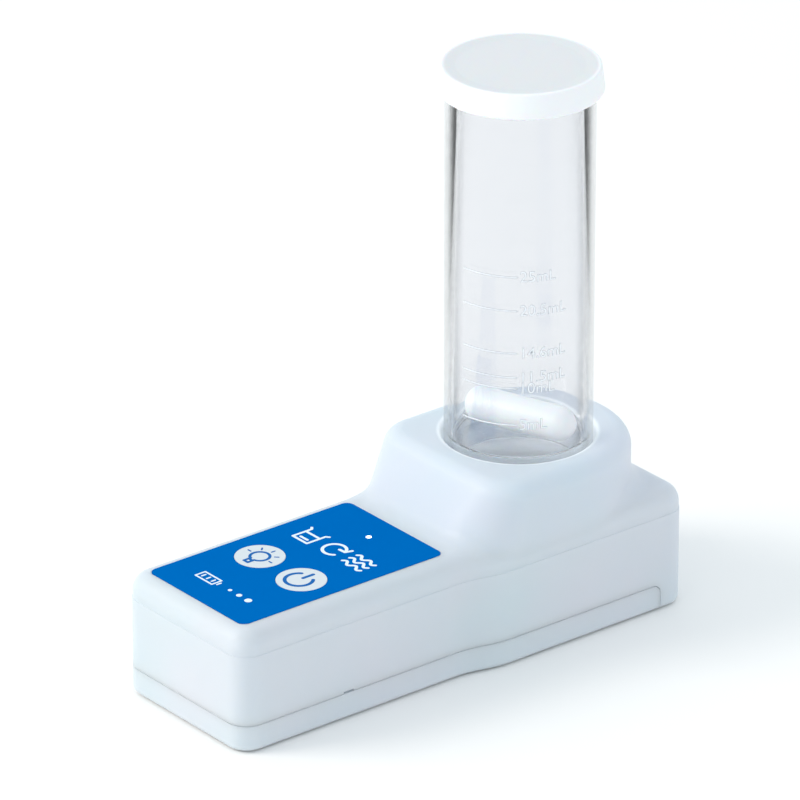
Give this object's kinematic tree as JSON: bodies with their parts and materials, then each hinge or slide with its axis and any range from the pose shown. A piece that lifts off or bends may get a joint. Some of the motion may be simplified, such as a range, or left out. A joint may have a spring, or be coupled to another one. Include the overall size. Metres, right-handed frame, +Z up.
{
  "type": "magnetic stirrer",
  "caption": "Pocket battery magnetic stirrer: flat handle with two keys, raised head with a well, clear graduated sample tube with cap and a coated stir bar.",
  "frame": {"origin": "middle of the bottom of the bounding box, on the surface that the feet stand on", "axes": "+Z up; +Y from the free end of the handle to the head with the tube; +X to the right when the panel is read from the handle end"},
  "size_m": [0.0436, 0.116, 0.1219],
  "materials": {
    "case_plastic": "satin milky white, slightly translucent",
    "panel_print": "smooth blue printed film",
    "key_plastic": "satin light grey with a printed symbol",
    "clear_pipe": "clear moulded light pipe",
    "plunger_plastic": "black nylon",
    "switch_metal": "stamped tact switch shell",
    "board_laminate": "green solder mask",
    "lamp_body": "white lamp package",
    "screw_steel": "zinc plated",
    "chip_epoxy": "black moulded epoxy",
    "coil_ferrite": "dark ferrite",
    "connector_plastic": "natural nylon",
    "tray_plastic": "black moulded",
    "cell_wrap": "printed wrap on a steel can",
    "contact_metal": "nickel plated spring steel",
    "pad_foam": "soft foam",
    "motor_steel": "drawn can",
    "motor_plastic": "natural nylon end cap",
    "bracket_metal": "stamped sheet",
    "shaft_steel": "ground",
    "carrier_plastic": "moulded",
    "magnet_metal": "nickel plated magnet",
    "red_lead": "soft sleeve",
    "black_lead": "soft sleeve",
    "white_lead": "soft sleeve",
    "clear_tube": "clear moulded, raised volume marks",
    "cap_plastic": "satin white",
    "stir_coat": "smooth white coat",
    "foot_rubber": "soft pale rubber"
  },
  "bodies": {
    "housing": {"battery_1": "cell_wrap", "battery_2": "cell_wrap", "battery_3": "cell_wrap", "battery_connector": "connector_plastic", "battery_lead_black": "black_lead", "battery_lead_red": "red_lead", "battery_tray": "tray_plastic", "board_screw_front_left": "screw_steel", "board_screw_front_right": "screw_steel", "board_screw_rear_left": "screw_steel", "board_screw_rear_right": "screw_steel", "boost_coil": "coil_ferrite", "bracket_screw_front_left": "screw_steel", "bracket_screw_front_right": "screw_steel", "bracket_screw_rear_left": "screw_steel", "bracket_screw_rear_right": "screw_steel", "contact_front_end": "contact_metal", "contact_front_link": "contact_metal", "contact_rear_end": "contact_metal", "contact_rear_link": "contact_metal", "control_overlay": "panel_print", "controller_chip": "chip_epoxy", "foot_rear_left": "foot_rubber", "foot_rear_right": "foot_rubber", "light_lamp_1": "lamp_body", "light_lamp_2": "lamp_body", "light_lamp_3": "lamp_body", "light_lamp_4": "lamp_body", "light_lead": "white_lead", "light_ring_board": "board_laminate", "light_switch": "switch_metal", "main_board": "board_laminate", "motor_bracket": "bracket_metal", "motor_can": "motor_steel", "motor_connector": "connector_plastic", "motor_end_cap": "motor_plastic", "motor_lead_black": "black_lead", "motor_lead_red": "red_lead", "motor_screw_left": "screw_steel", "motor_screw_right": "screw_steel", "power_switch": "switch_metal", "status_lamp": "lamp_body", "status_light": "clear_pipe", "upper_housing": "case_plastic"},
    "power_button": {"power_button": "key_plastic", "power_plunger": "plunger_plastic"},
    "light_button": {"light_button": "key_plastic", "light_plunger": "plunger_plastic"},
    "rotor": {"motor_shaft": "shaft_steel", "magnet_carrier": "carrier_plastic", "drive_magnet_left": "magnet_metal", "drive_magnet_right": "magnet_metal"},
    "tube": {"sample_tube": "clear_tube"},
    "cap": {"tube_cap": "cap_plastic"},
    "stir_bar": {"stir_bar": "stir_coat", "stir_bar_magnet": "magnet_metal"},
    "base_cover": {"base_cover": "case_plastic", "battery_pad": "pad_foam", "foot_front_left": "foot_rubber", "foot_front_right": "foot_rubber"}
  },
  "joints": [
    {"name": "power_press", "type": "slide", "parent": "housing", "child": "power_button", "axis": [0, 0, -1], "range_m": [0, 0.0004], "stiffness_N_per_m": 4000, "springref_m": -0.0001},
    {"name": "light_press", "type": "slide", "parent": "housing", "child": "light_button", "axis": [0, 0, -1], "range_m": [0, 0.0004], "stiffness_N_per_m": 4000, "springref_m": -0.0001},
    {"name": "rotor_spin", "type": "hinge", "parent": "housing", "child": "rotor", "pos_m": [0, 0.0299, 0], "axis": [0, 0, 1], "continuous": true},
    {"name": "tube_lift", "type": "slide", "parent": "housing", "child": "tube", "axis": [0, 0, 1], "range_m": [0, 0.03]},
    {"name": "cap_lift", "type": "slide", "parent": "tube", "child": "cap", "axis": [0, 0, 1], "range_m": [0, 0.02]},
    {"name": "stir_bar_spin", "type": "hinge", "parent": "tube", "child": "stir_bar", "pos_m": [0, 0.0299, 0], "axis": [0, 0, 1], "continuous": true},
    {"name": "base_cover_swing", "type": "hinge", "parent": "housing", "child": "base_cover", "pos_m": [0, 0.05043, 0.0003], "axis": [1, 0, 0], "range_deg": [0, 70]}
  ],
  "couplings": [
    {"joint": "stir_bar_spin", "follows": "rotor_spin", "ratio": 1}
  ]
}
